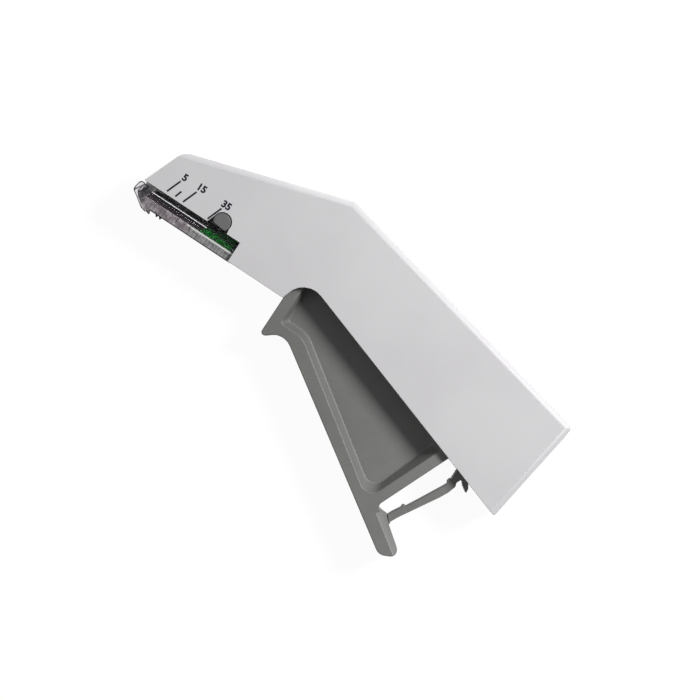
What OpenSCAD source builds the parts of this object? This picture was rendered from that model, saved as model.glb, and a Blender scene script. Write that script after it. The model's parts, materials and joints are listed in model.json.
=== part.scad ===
// Skin stapler: a two-part housing, a sprung trigger lever, a clear staple cartridge and the former
// that bends each staple round the anvil. Everything is drawn about the trigger's pivot, in millimetres:
// +X runs along the staple row from the nose to the tail, +Y to the back of the handle, +Z out of the
// left side. The last lines move the whole to the middle of its footprint, lying on its right side.

/* [Housing] */
// Width over both halves
housing_w = 17; // [15:0.5:20]
// Thickness of the moulded walls
wall = 2; // [1.6:0.1:2.4]
// Pivot to the lower front corner, along the row
front_x = 27.5; // [27:0.1:29]
// Window's top edge below the pivot
window_drop = 2.4; // [2.2:0.1:2.6]
// Length of the front face
nose_len = 15.2; // [14.5:0.1:17]
// Pivot to the bend of the back, along the row
bend_x = 31.2; // [26:0.2:40]
// Pivot to the upper tail corner, along the row
tail_x = 127.1; // [122:0.5:140]
// Length of the tail edge
tail_len = 37; // [36:0.5:42]
// Belly below the pivot
belly_drop = 9.3; // [9.2:0.1:10]
// Pivot to the window's rear edge, along the row
window_rear = 8.2; // [7.8:0.1:9.5]
// Fillet along the outer edges
edge_r = 2.2; // [1:0.1:3]

/* [Angles] */
// Lean of the front face and of every staple
lean = 68.5; // [66:0.5:71]
// Rise of the nose's top edge
nose_rise = 17.2; // [16:0.1:19]
// Fall of the handle's back
back_fall = 12.7; // [11.5:0.1:13.5]
// Lean of the tail edge from upright
tail_lean = 8.3; // [4:0.1:12]
// Slope of the handle's lower edge
grip_fall = 18.4; // [18:0.1:19]
// Squeeze of the trigger from rest to its stop
squeeze = 14.6; // [10:0.2:14.8]

/* [Trigger] */
// Pivot to the trigger's front face
trigger_front = 28.9; // [28.6:0.1:29.4]
// Radius of the pivot boss
boss_r = 3; // [2.8:0.05:3.1]
// Thickness of the trigger's centre web
web_t = 1.8; // [1.2:0.1:3]
// Front rim of the trigger, seen from the side
rim_w = 3.6; // [3:0.1:5]
// Width of the return arm
arm_w = 8; // [5:0.5:10]
// Lever's nose behind the staples' plane
nose_back = 1.78; // [1.7:0.02:1.9]

/* [Staples] */
// Staples in a full row
staple_count = 35; // [5:1:35]
// Wire thickness
wire_d = 0.53; // [0.48:0.01:0.55]
// Leg length
leg_len = 3.9; // [3.4:0.1:3.9]
// Width of the closed staple, which is the width of the anvil's lip
closed_w = 6.9; // [5:0.1:7.4]

/* [Cartridge] */
// Step back of the clear cheek from the housing's side
cheek_back = 1.2; // [0.8:0.1:1.2]
// Thickness of the clear cheek
cheek_t = 0.8; // [0.7:0.05:1]
// Pivot to the cartridge's rear end
cart_rear = 26.2; // [25.5:0.1:26.4]
// Thickness of the anvil plate
anvil_t = 0.75; // [0.6:0.05:0.8]
// Thickness of the former blade
blade_t = 0.5; // [0.45:0.01:0.52]

/* [Follower spring] */
// Wire of the follower spring
spring_wire = 0.35; // [0.25:0.01:0.4]
// Mean radius of the coil
coil_r = 0.9; // [0.85:0.01:0.95]
// Turns of the coil
spring_turns = 18; // [8:1:19]
// Radius of the guide rod
rod_r = 0.5; // [0.4:0.05:0.55]

/* [Hidden] */

// Clearances
run_gap = 0.08;
side_gap = 0.3;
slide_gap = 0.1;
seat_gap = 0.15;
over = 1;
arc_steps = 6;

// Points and lines
function ray(p, length, angle) = p + length * [cos(angle), sin(angle)];
function cross2(a, b) = a.x * b.y - a.y * b.x;
function meet(p, a, q, b) = ray(p, cross2(q - p, [cos(b), sin(b)]) / sin(b - a), a);
function line_y(p, angle, x) = p.y + tan(angle) * (x - p.x);
function unit(v) = v / norm(v);
function turned(p, angle) = [p.x * cos(angle) - p.y * sin(angle), p.x * sin(angle) + p.y * cos(angle)];
function wrap(angle) = angle > 180 ? angle - 360 : (angle < -180 ? angle + 360 : angle);

// An outline whose corners [x, y, r] are rounded to r
function corner(a, b, c, r) =
    let (u = unit(a - b), v = unit(c - b), half = acos(u * v) / 2)
    let (centre = b + unit(u + v) * r / sin(half), start = b + u * r / tan(half) - centre)
    let (end = b + v * r / tan(half) - centre, from = atan2(start.y, start.x))
    let (sweep = wrap(atan2(end.y, end.x) - from))
    [for (i = [0 : arc_steps]) ray(centre, r, from + sweep * i / arc_steps)];
function flat2(p) = [p.x, p.y];
function rounded(p) = [for (i = [0 : len(p) - 1])
    each p[i][2] == 0 ? [flat2(p[i])]
        : corner(flat2(p[(i + len(p) - 1) % len(p)]), flat2(p[i]), flat2(p[(i + 1) % len(p)]), p[i][2])];
function soft(p, r) = [p.x, p.y, r];

// Outline of the housing
mid_z = housing_w / 2;
front_low = [-front_x, -window_drop];
nose_top = ray(front_low, nose_len, lean);
bend = meet(nose_top, nose_rise, [bend_x, 0], 90);
tail_top = meet(bend, -back_fall, [tail_x, 0], 90);
tail_low = ray(tail_top, tail_len, -90 - tail_lean);
nose_top_r = 5.5;
bend_corner_r = 1;
tail_r = 2;
tail_low_r = 0.6;
floor_t = 1.2;
inner_front = front_low + wall * [sin(lean), -cos(lean)];
inner_nose = nose_top + wall * [sin(nose_rise), -cos(nose_rise)];
inner_bend = bend - wall * [sin(back_fall), cos(back_fall)];
inner_tail = tail_top - wall * [cos(tail_lean), -sin(tail_lean)];
inner_low = tail_low + wall * [sin(grip_fall), cos(grip_fall)];
function back_y(x) = x < bend_x ? line_y(nose_top, nose_rise, x) : line_y(bend, -back_fall, x);
function grip_y(x) = line_y(tail_low, -grip_fall, x);

// Arch of the side wall over the trigger's front
arch_r = 7;
arch_angle = 75;
arch_foot = [trigger_front, -belly_drop];
arch_top = meet(arch_foot, arch_angle, tail_low, -grip_fall);

// Posts and sockets that join the halves
post_shares = [-0.047, 0.22, 0.55, 0.946];
post_in = 4.1;
post_r = 2;
pin_r = 1.1;
pin_len = 3;
low_post_in = 10.1;
low_post_x = tail_x - low_post_in;
low_post_up = 5.9;
posts = concat([for (s = post_shares) [s * tail_x, back_y(s * tail_x) - post_in]],
    [[low_post_x, grip_y(low_post_x) + low_post_up]]);

// The former's plane: u runs down along the staple's legs, v forward out of the nose
crown_back = 3.7;
crown_drop = 4.9;
crown = [crown_back - front_x, -crown_drop];
function uv(u, v) = crown - u * [cos(lean), sin(lean)] + v * [-sin(lean), cos(lean)];
function u_of(p) = -(p - crown) * [cos(lean), sin(lean)];
function v_of(p) = (p - crown) * [-sin(lean), cos(lean)];

// Staples and the follower's place behind them
cart_w = housing_w - 2 * cheek_back;
staple_w = cart_w - 2 * cheek_t - 2 * slide_gap;
bend_r = 0.55;
wire_gap = 0.005;
pitch = (wire_d + wire_gap) / sin(lean);
row_len = (staple_count - 1) * pitch;
feed = row_len;

// Anvil, cheeks and cover
seat_slip = 0.035;
anvil_top = crown.y - wire_d / 2 - seat_slip;
anvil_low = anvil_top - anvil_t;
deck_over = 0.65;
deck_top = crown.y + deck_over;
cover_low = deck_top + seat_gap;
cover_t = 0.7;
cover_top = cover_low + cover_t;
cart_low = -belly_drop - seat_gap;
cart_floor_t = 0.8;
slot_floor = cart_low + cart_floor_t;
core_in = 1.2;
core_w = staple_w - 2 * core_in;
core_start = 2;
core_front = crown.x + core_start;
plate_start = 1.2;
plate_front = crown.x + plate_start;
plate_w = core_w + slide_gap;
centre_rib_w = 3.6;
core_rib_t = 1.2;
tail_low_y = slide_gap / 2 - belly_drop + floor_t;
blade_behind = 0.22;
blade_v = [-blade_behind, blade_t - blade_behind];
lip_past = 0.05;
lip_v = blade_v[1] + lip_past;
cart_end = window_rear - slide_gap;
rail_w = 2.7;

// Leaf in the core's top, and the shallow pockets along the channel's side
ejector_w = 3;
ejector_t = 0.35;
ejector_len = 9.4;
pocket_x = [-6.2, -0.2, 5.7];
pocket_len = 2;
pocket_t = 0.25;
pocket_up = [0.5, 2];
pocket_y = [cart_low + pocket_up[0], cart_low + pocket_up[1]];

// Nose of the cheeks, as shares of its reach and drop from the front staple's crown
nose_reach = 5.1;
nose_drop = 5.6;
cheek_shares = [[0.314, -0.8125, 0.05], [0.412, -1.045, 0.06], [-0.039, -0.93, 0.2],
    [-0.686, -0.509, 0.2], [-1.06, -0.304, 0.28], [-0.945, 0.33, 0.22], [-0.62, 0.35, 0.1],
    [-0.5, 0.1429, 0.07]];
tab_shares = [0.97, 1.09, 1.17];
tab_drop = 0.75;

// Pegs that carry the cartridge in the housing
lug_x = [-15.3, -11.3];
lug_top = 1.2;
lug_w = 1.7;
peg_r = 1;
peg_drop = 1.8;
front_peg = [(lug_x[0] + lug_x[1]) / 2, lug_top - peg_drop];
rear_peg_back = 6.2;
rear_peg = [cart_rear - rear_peg_back, (tail_low_y + anvil_low) / 2];
rear_peg_r = 0.7;
rear_peg_in = 1.3;

// Follower and its spring
rod_up = 1.15;
rod_y = crown.y + rod_up;
rod_start = 2;
rod_x = crown.x + rod_start;
tower_w = 3.8;
tower_over = 1.1;
tower_top = rod_y + tower_over;
tower_from = 4.9;
tower_len = 6.1;
upper_deck_t = 0.6;
upper_deck_top = deck_top + upper_deck_t;
upper_deck_in = 2;
upper_deck_w = staple_w - 2 * upper_deck_in;
wing_t = 0.95;
wing_drop = 0.3;
wing_low = anvil_low - wing_drop;
follower_len = 11.2;
follower_x = crown.x + row_len;
tower_back = follower_x + tower_from + tower_len;
plug_len = 2.3;
plug_w = 5.8;
plug_x = cart_rear - plug_len;

// Lever, carrier and blade
boss_flat = 1.87;
boss_flat_angle = -6.2;
boss_chamfer = 0.35;
boss_in = 0.3;
notch_angle = 84;
flank_share = 0.96;
nose_r = 1.1;
finger_w = 1.7;
finger_len = 4.6;
lever_w = 8;
lever_start_angle = 3;
foot_u = u_of([0, 0]);
foot_v = v_of([0, 0]);
lever_r = (-foot_v - nose_back) / cos(lever_start_angle);
function nose_uv(angle) = [foot_u + lever_r * sin(angle), foot_v + lever_r * cos(angle)];
rest_uv = nose_uv(lever_start_angle);
pressed_uv = nose_uv(lever_start_angle + squeeze);
stroke = pressed_uv[0] - rest_uv[0];
lever_nose = uv(rest_uv[0], rest_uv[1]);
blade_start = -0.45;
blade_shoulder = -9.6;
blade_top = -13.5;
tang_w = 9;
notch_side = 0.35;
notch_h = stroke + side_gap;
jaw_wall = 1.1;
jaw_gap = 0.2;
carrier_w = housing_w - 2 * wall - 2 * side_gap;
carrier_back = -3.5;
carrier_front = 1.95;
carrier_low = -7;
guide_gap = 0.25;
guide_t = 0.8;
guide_w = 1.9;

// Trigger outline, worked out from its own slopes and lengths
trigger_w = housing_w - 2 * wall - 2 * side_gap;
neck_top = 3.5;
hook_drop = 23.75;
hook_angle = 40;
hook_len = 8.37;
grip_angle = 33.6;
grip_len = 75.5;
heel_angle = 25;
heel_len = 7;
heel_back_angle = 142.7;
heel_back_len = 10.9;
root_angle = 128.3;
root_len = 3.16;
slot_angle = 178.2;
slot_len = 4.72;
back_rim_angle = 66.9;
back_rim_w = 3.5;
flange_in = 3.6;
flange_t = 2.4;
hook = [trigger_front, -hook_drop];
hook_root = ray(hook, hook_len, hook_angle);
heel = ray(hook_root, grip_len, -grip_angle);
heel_tip = ray(heel, heel_len, heel_angle);
crotch = ray(heel_tip, heel_back_len, heel_back_angle);
root_top = ray(crotch, root_len, root_angle);
slot_end = ray(root_top, slot_len, slot_angle);
flange_line = tail_low + flange_in * [sin(grip_fall), cos(grip_fall)];
flange_rear = meet(slot_end, back_rim_angle, flange_line, -grip_fall);
flange_fore = meet([trigger_front, 0], 90, flange_line, -grip_fall);
tip_r = 1.1;
hook_root_r = 5.8;
heel_r = 3.4;
heel_tip_r = 2;
slot_r = 1.4;
flange_r = 4;

// Ridge along the tail lobe: its distance from the grip's edge, its start, and the slope beyond it
ridge_in = 4.3;
ridge_from = 63;
ridge_slope_share = 0.9;

// Trough in each side of the trigger: its mouth and its drafted floor
trough_angle = 34.9;
trough_up = [1.8, 2.4, 2.2, 1];
trough_r = [1.3, 8, 4, 2.2];
trough_top = tail_low + (flange_in - flange_t) * [sin(grip_fall), cos(grip_fall)];
trough_rise = 7.45;
trough_low_y = hook_drop - trough_rise;
trough_corner = 11.9;
trough_grip = [trigger_front + trough_corner, -trough_low_y];
trough_back = slot_end + back_rim_w * [-sin(back_rim_angle), cos(back_rim_angle)];

// Return arm, as shares of its reach and rise from its root
arm_reach = 14.8;
arm_rise = 28.3;
arm_tip_in = 0.45;
arm_shares = [[-0.092, 0.137, 0], [0.016, 0.2325, 0], [0.016, 0.268, 0.03], [0.07, 0.2784, 0.03],
    [0.0905, 0.2714, 0], [0.25, 0.4233, 0], [0.516, 0.6848, 0.3], [0.5635, 0.736, 0],
    [0.533, 0.7625, 0.03], [0.543, 0.7908, 0.03], [0.577, 0.812, 0], [0.57, 0.918, 0.1],
    [0.6446, 0.9993, 0.05], [0.773, 0.985, 0.08], [0.9216, 0.872, 0.04], [0.986, 0.8226, 0.03],
    [1, 0.7625, 0.02], [0.861, 0.812, 0.06], [0.793, 0.8527, 0.04], [0.746, 0.851, 0.04],
    [0.709, 0.8014, 0.04], [0.736, 0.759, 0.04], [0.678, 0.6636, 0.3], [0.5797, 0.5636, 0.4],
    [0.337, 0.3544, 0], [0.0905, 0.1406, 0.1], [-0.005, 0.045, 0.08]];
function arm_point(s) = [crotch.x + s.x * arm_reach, crotch.y + s.y * arm_rise, s[2] * arm_w];
grip_close = crotch.x + arm_reach - arm_tip_in;
arm_rib_t = 1.2;
arm_rib_h = 1.5;

// Stop ribs that the flange meets at full squeeze
stop_in = 29;
stop_x = tail_x - stop_in;
stop_t = 1.6;
pressed_fore = turned(flange_fore, squeeze);
stop_low = line_y(pressed_fore, squeeze - grip_fall, stop_x) + seat_gap;

// The middle of the footprint
origin = [(crown.x - nose_reach + tail_x) / 2, (bend.y + heel.y) / 2];

// Draws a flat outline t thick about the middle plane
module slab(t) {
    translate([0, 0, mid_z]) linear_extrude(t, center = true) children();
}

// Draws a flat outline from depth z, t thick, on both sides of the middle plane
module both_sides(z, t) {
    translate([0, 0, z]) linear_extrude(t) children();
    translate([0, 0, housing_w - z - t]) linear_extrude(t) children();
}

module outline() {
    polygon(rounded([soft(front_low, 0), soft(nose_top, nose_top_r), soft(bend, bend_corner_r),
        soft(tail_top, tail_r), soft(tail_low, tail_low_r), soft(arch_top, arch_r), soft(arch_foot, 0),
        [window_rear, -belly_drop, 0], [window_rear, -window_drop, 0]]));
}

module hollow() {
    low = meet(inner_tail, -90 - tail_lean, inner_low, -grip_fall);
    polygon(rounded([
        soft(meet(inner_front, lean, [0, -belly_drop], 0), 0),
        soft(meet(inner_front, lean, inner_nose, nose_rise), nose_top_r - wall),
        soft(meet(inner_nose, nose_rise, inner_bend, -back_fall), 0),
        soft(meet(inner_bend, -back_fall, inner_tail, -90 - tail_lean), 0),
        soft(low, 0),
        [grip_close, line_y(inner_low, -grip_fall, grip_close), 0],
        [grip_close, grip_y(grip_close) - over, 0],
        [trigger_front + arch_r, -belly_drop - over, 0],
        [trigger_front - slide_gap, -belly_drop - over, 0],
        [trigger_front - slide_gap, floor_t - belly_drop, 0],
        [-front_x, floor_t - belly_drop, 0]]));
}

// Cutter that rounds the left side's edge from p on, towards angle
module edge_cutter(p, angle) {
    reach = 2 * tail_x;
    translate([p.x, p.y, housing_w]) rotate([0, 0, angle]) rotate([90, 0, 90])
        translate([0, 0, -reach / 2]) linear_extrude(reach) difference() {
            translate([-edge_r, -edge_r]) square(edge_r + over);
            translate([-edge_r, -edge_r]) circle(edge_r, $fn = 32);
        }
}

// Notch in the side wall for the trigger's boss, open to the window below
module boss_notch() {
    r = boss_r + run_gap;
    mouth = window_drop + over;
    circle(r, $fn = 64);
    fore = ray([0, 0], flank_share * r, lean + 90);
    rear = ray([0, 0], flank_share * r, 90 - notch_angle);
    polygon([fore, rear, ray(rear, mouth + over, -notch_angle), [-r, -mouth - over],
        ray(fore, mouth + over, lean - 180)]);
}

// One shell as the left half: wall, edges, ribs and pegs, without posts or sockets
module shell() {
    difference() {
        translate([0, 0, mid_z]) linear_extrude(housing_w - mid_z) outline();
        translate([0, 0, mid_z - over]) linear_extrude(housing_w - wall - mid_z + over) hollow();
        translate([0, 0, mid_z]) linear_extrude(housing_w) boss_notch();
        edge_cutter(nose_top, nose_rise);
        edge_cutter(bend, -back_fall);
        edge_cutter(tail_top, -90 - tail_lean);
    }
    inside = housing_w - wall;
    translate([front_peg.x, front_peg.y, inside - lug_w - slide_gap])
        cylinder(h = lug_w + slide_gap + wall / 2, r = peg_r, $fn = 32);
    translate([rear_peg.x, rear_peg.y, mid_z + core_w / 2 - rear_peg_in])
        cylinder(h = inside - mid_z - core_w / 2 + rear_peg_in + wall / 2, r = rear_peg_r, $fn = 32);
    translate([0, 0, inside - guide_w]) linear_extrude(guide_w + wall / 2) guide_rib();
    translate([0, 0, mid_z + tower_w / 2]) linear_extrude(inside - mid_z) plug_rib();
    translate([0, 0, mid_z]) linear_extrude(inside - mid_z) stop_rib();
    translate([0, 0, mid_z]) linear_extrude(inside - mid_z) arm_rib();
}

// Rib that guides the back of the former's carrier
module guide_rib() {
    v = carrier_back - guide_gap;
    low = u_of([0, window_drop]) - over;
    polygon([uv(low, v), uv(blade_top, v), uv(blade_top, v - guide_t), uv(low, v - guide_t)]);
}

// Rib behind the cartridge's end plug
module plug_rib() {
    translate([cart_rear + seat_gap, floor_t - belly_drop - over / 2])
        square([guide_t, belly_drop - floor_t - window_drop + over / 2]);
}

// Rib on the back wall that stops the trigger
module stop_rib() {
    translate([stop_x, stop_low]) square([stop_t, back_y(stop_x) - stop_low - wall / 2]);
}

// Upright end of the closed stretch, on which the return arm's barb bears
module arm_rib() {
    low = grip_y(grip_close);
    polygon([[grip_close, low + wall / 2], [grip_close, low + wall + arm_rib_h],
        [grip_close + arm_rib_t, low + wall + arm_rib_h], [grip_close + arm_rib_t, low + wall / 2]]);
}

module left_housing() {
    color("gainsboro") difference() {
        union() {
            shell();
            for (p = posts) translate([p.x, p.y, mid_z]) cylinder(h = mid_z - wall / 2, r = post_r, $fn = 32);
        }
        for (p = posts) translate([p.x, p.y, mid_z - over])
            cylinder(h = pin_len + seat_gap + over, r = pin_r + run_gap, $fn = 32);
    }
}

module right_housing() {
    color("whitesmoke") {
        translate([0, 0, housing_w]) mirror([0, 0, 1]) shell();
        for (p = posts) {
            translate([p.x, p.y, wall / 2]) cylinder(h = mid_z - wall / 2, r = post_r, $fn = 32);
            translate([p.x, p.y, wall]) cylinder(h = mid_z - wall + pin_len, r = pin_r, $fn = 32);
        }
    }
}

module box(x, y, z) {
    translate([x[0], y[0], z[0]]) cube([x[1] - x[0], y[1] - y[0], z[1] - z[0]]);
}
function centred(w) = [mid_z - w / 2, mid_z + w / 2];

module cheek() {
    nose = [for (s = cheek_shares) [crown.x + s.x * nose_reach, crown.y + s.y * nose_drop, s[2] * nose_reach]];
    tab = [for (i = [0 : 2]) [crown.x + tab_shares[i] * nose_reach, cart_low - (i == 1 ? tab_drop : 0), 0]];
    polygon(rounded(concat([[cart_end, cover_low, 0], [cart_end, cart_low, 0]],
        [tab[2], tab[1], tab[0]], [[nose[0].x, cart_low, 0]], [for (i = [1 : 7]) nose[i]],
        [[nose[7].x + over, cover_low, 0]])));
}

module cartridge_body() {
    rib_z = core_w / 2 - core_rib_t;
    color("lightcyan", 0.4) difference() {
        union() {
            both_sides(cheek_back, cheek_t) cheek();
            box([core_front, cart_end], [cart_low, slot_floor], centred(cart_w - cheek_t));
            box([core_front, cart_end], [cart_low, anvil_low], centred(core_w));
            box([cart_end - over, cart_rear], [tail_low_y, anvil_low], centred(core_w));
        }
        for (s = [-1, 1]) translate([0, 0, s * (centre_rib_w + rib_z * 2) / 4])
            box([core_front + core_rib_t, cart_rear - core_rib_t], [slot_floor, anvil_low + over],
                centred(rib_z - centre_rib_w / 2));
        box([core_front - over, core_front + ejector_len], [anvil_low - ejector_t, anvil_low + over],
            centred(ejector_w + 2 * slide_gap));
        for (s = [-1, 1]) translate([rear_peg.x, rear_peg.y, mid_z + s * core_w / 2])
            cylinder(h = 2 * (rear_peg_in + slide_gap), r = rear_peg_r + run_gap, center = true, $fn = 32);
        for (x = pocket_x) for (z = [cheek_back - over, housing_w - cheek_back - pocket_t])
            box([x, x + pocket_len], pocket_y, [z, z + over + pocket_t]);
    }
}
module cartridge_cover() {
    slot_w = cart_w - 2 * rail_w;
    color("azure", 0.5) difference() {
        union() {
            both_sides(cheek_back, rail_w) cover_rail();
            slab(slot_w) front_block(upper_deck_top + slide_gap);
            slab(tower_w) front_block(cover_low);
            both_sides(wall + side_gap / 2, lug_w) polygon([[lug_x[0], cover_low], [lug_x[1], cover_low],
                [lug_x[1], lug_top], [lug_x[0], lug_top]]);
        }
        for (z = [wall, housing_w - wall - lug_w]) translate([front_peg.x, front_peg.y, z - over])
            cylinder(h = lug_w + 2 * over, r = peg_r + run_gap, $fn = 32);
        translate([rod_x, rod_y, mid_z]) rotate([0, 90, 0])
            cylinder(h = tower_len, r = rod_r + run_gap, $fn = 24);
    }
}

module cover_rail() {
    polygon([cover_edge(cover_low), [cart_end, cover_low], [cart_end, cover_top], cover_edge(cover_top)]);
}
function cover_edge(y) = meet(uv(0, blade_v[0] - jaw_gap), lean, [0, y], 0);

// Block behind the former: the rod's anchor, and a bridge between the rails above the follower
module front_block(low) {
    high = rod_y + rod_r + cover_t / 2;
    back = crown.x + tower_from - over;
    polygon([cover_edge(low), [back, low], [back, high], cover_edge(high)]);
}

module anvil_plate() {
    color("silver") difference() {
        union() {
            box([plate_front, cart_rear - core_rib_t], [anvil_low, anvil_top], centred(plate_w));
            box([uv(0, lip_v).x, plate_front + over], [anvil_low, anvil_top], centred(closed_w));
        }
        translate([cart_rear - tower_w, anvil_top + over, mid_z]) rotate([90, 0, 0])
            cylinder(h = anvil_t + 2 * over, r = peg_r, $fn = 32);
    }
}

module ejector_spring() {
    tip = plate_front - slide_gap;
    rear = core_front + ejector_len - slide_gap;
    color("lightsteelblue") slab(ejector_w) polygon([
        [rear, anvil_low], [core_front, anvil_low],
        [tip, anvil_low - ejector_t], [tip, anvil_low - 2 * ejector_t],
        [core_front, anvil_low - ejector_t], [rear, anvil_low - ejector_t]]);
}

module spring_guide_rod() {
    x = rod_x + slide_gap;
    color("gray") translate([x, rod_y, mid_z]) rotate([0, 90, 0])
        cylinder(h = cart_rear - x - slide_gap, r = rod_r, $fn = 24);
}

module spring_end_plug() {
    color("dimgray") difference() {
        box([plug_x, cart_rear], [anvil_top, rod_y + coil_r + slide_gap], centred(plug_w));
        translate([plug_x - over, rod_y, mid_z]) rotate([0, 90, 0])
            cylinder(h = cart_rear - plug_x + 2 * over, r = rod_r + run_gap, $fn = 24);
    }
}

// One unbroken helix tube between the follower's tower and the plug
module follower_spring() {
    start = tower_back + slide_gap + spring_wire / 2;
    span = plug_x - slide_gap - spring_wire / 2 - start;
    rings = 8 * spring_turns;
    sides = 6;
    pts = [for (i = [0 : rings]) for (k = [0 : sides - 1])
        let (a = 360 * i / 8, b = 360 * k / sides)
        let (out = coil_r + spring_wire / 2 * cos(b))
        [start + span * i / rings + spring_wire / 2 * sin(b), rod_y + out * cos(a), mid_z + out * sin(a)]];
    faces = concat([[for (k = [0 : sides - 1]) k]],
        [for (i = [0 : rings - 1]) for (k = [0 : sides - 1]) for (t = [0, 1])
            let (a = i * sides + k, b = i * sides + (k + 1) % sides)
            t == 0 ? [a, a + sides, b + sides] : [a, b + sides, b]],
        [[for (k = [sides - 1 : -1 : 0]) rings * sides + k]]);
    echo(least_gap_between_turns = span / spring_turns - spring_wire);
    color("lightgray") polyhedron(pts, faces, convexity = 20);
}

module quarter_bend() {
    rotate_extrude(angle = 90, $fn = 48) translate([bend_r, 0]) circle(wire_d / 2, $fn = 16);
}

// A staple about its crown's middle: local X across, local Y down the legs
module staple() {
    half = staple_w / 2 - wire_d / 2;
    rotate([0, 90, 0]) cylinder(h = 2 * (half - bend_r), r = wire_d / 2, center = true, $fn = 16);
    for (s = [0, 1]) mirror([s, 0, 0]) {
        translate([half - bend_r, bend_r, 0]) rotate([0, 0, -90]) quarter_bend();
        translate([half, bend_r, 0]) rotate([-90, 0, 0])
            cylinder(h = leg_len - bend_r, r = wire_d / 2, $fn = 16);
    }
}

module placed_staple(i) {
    multmatrix([[0, -cos(lean), sin(lean), crown.x + i * pitch], [0, -sin(lean), -cos(lean), crown.y],
        [1, 0, 0, mid_z], [0, 0, 0, 1]]) staple();
}

module staples() {
    color("silver") for (i = [1 : staple_count - 1]) placed_staple(i);
}

module front_staple() {
    color("white") placed_staple(0);
}

module staple_follower() {
    face = uv(0, -wire_d / 2 - wire_gap);
    x0 = row_len;
    color("green") difference() {
        union() {
            both_sides(mid_z - staple_w / 2, wing_t) follower_side(face, x0, wing_low, deck_top);
            slab(staple_w) follower_side(face, x0, anvil_top + seat_slip, deck_top);
            both_sides(mid_z - upper_deck_w / 2, (upper_deck_w - tower_w) / 2 - slide_gap)
                follower_side(face, x0, deck_top - over / 2, upper_deck_top);
            box([follower_x + tower_from, tower_back], [deck_top - over / 2, tower_top], centred(tower_w));
        }
        translate([follower_x - over, rod_y, mid_z]) rotate([0, 90, 0])
            cylinder(h = follower_len + 2 * over, r = rod_r + run_gap, $fn = 24);
    }
}

// Side of the follower between two heights, its front leaning with the staples
module follower_side(face, x0, low, high) {
    front = [for (y = [low, high]) meet(face, lean, [0, y], 0).x + x0];
    back = row_len + crown.x + follower_len;
    polygon([[front[0], low], [back, low], [back, high], [front[1], high]]);
}

module former_carrier() {
    color("dimgray") difference() {
        slab(carrier_w) polygon([uv(blade_top - jaw_wall, carrier_front), uv(carrier_low, carrier_front),
            uv(carrier_low, blade_v[1]), uv(blade_shoulder, blade_v[1]), uv(blade_shoulder, carrier_back),
            uv(blade_top - jaw_wall, carrier_back)]);
        slab(carrier_w + over) polygon([uv(rest_uv[0] - nose_r - jaw_gap, carrier_back - over),
            uv(rest_uv[0] - nose_r - jaw_gap, rest_uv[1] + nose_r + jaw_gap),
            uv(rest_uv[0] + nose_r + jaw_gap, rest_uv[1] + nose_r + jaw_gap),
            uv(rest_uv[0] + nose_r + jaw_gap, carrier_back - over)]);
        slab(tang_w) polygon([uv(blade_top, blade_v[0]), uv(blade_top, blade_v[1]),
            uv(carrier_low + over, blade_v[1]), uv(carrier_low + over, blade_v[0])]);
    }
}

module former_blade() {
    color("slategray") {
        slab(tang_w) polygon([uv(blade_top, blade_v[0]), uv(blade_top, blade_v[1]),
            uv(blade_shoulder + over, blade_v[1]), uv(blade_shoulder + over, blade_v[0])]);
        difference() {
            slab(staple_w) polygon([uv(blade_shoulder, blade_v[0]), uv(blade_shoulder, blade_v[1]),
                uv(blade_start, blade_v[1]), uv(blade_start, blade_v[0])]);
            slab(closed_w + 2 * notch_side) polygon([uv(blade_start - notch_h, blade_v[0] - over),
                uv(blade_start - notch_h, blade_v[1] + over), uv(over, blade_v[1] + over),
                uv(over, blade_v[0] - over)]);
        }
    }
}

// Arm that reaches forward from the boss: a slim finger with a round nose
module lever_profile() {
    aim = atan2(lever_nose.y, lever_nose.x);
    knuckle = ray([0, 0], lever_r - finger_len, aim);
    translate(lever_nose) circle(nose_r, $fn = 32);
    polygon([[0, neck_top], ray(knuckle, boss_flat, aim - 90), ray(knuckle, finger_w / 2, aim - 90),
        ray(lever_nose, finger_w / 2, aim - 90), ray(lever_nose, finger_w / 2, aim + 90),
        ray(knuckle, finger_w / 2, aim + 90), ray(knuckle, boss_flat, aim + 90),
        [-boss_r * 0.9, -boss_flat / 2], [-boss_r / 4, -boss_flat / 2]]);
}

module trigger_profile() {
    polygon(rounded([[-boss_r / 2, -boss_flat, 0], [trigger_front, -boss_flat, 0], soft(hook, tip_r),
        soft(hook_root, hook_root_r), soft(heel, heel_r), soft(heel_tip, heel_tip_r), soft(crotch, 0),
        soft(root_top, 0), soft(slot_end, slot_r), soft(flange_rear, tip_r),
        soft(flange_fore, flange_r), [0, neck_top, 0], [-boss_r / 2, neck_top - over, 0]]));
}

// Corners of the trough, each wall drawn in by its own amount as f goes from 0 to 1
function trough(f) =
    let (front = trigger_front + rim_w + f * trough_up[0], floor_y = -trough_low_y + f * trough_up[1])
    let (low = trough_grip + f * trough_up[1] * [sin(trough_angle), cos(trough_angle)])
    let (back = trough_back + f * trough_up[2] * [-sin(back_rim_angle), cos(back_rim_angle)])
    let (top = trough_top - f * trough_up[3] * [sin(grip_fall), cos(grip_fall)])
    rounded([soft(meet([front, 0], 90, top, -grip_fall), trough_r[0]),
        [front, floor_y, trough_r[0]],
        soft(meet(low, -trough_angle, [0, floor_y], 0), trough_r[1]),
        soft(meet(low, -trough_angle, back, back_rim_angle), trough_r[2]),
        soft(meet(back, back_rim_angle, top, -grip_fall), trough_r[3])]);

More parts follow.
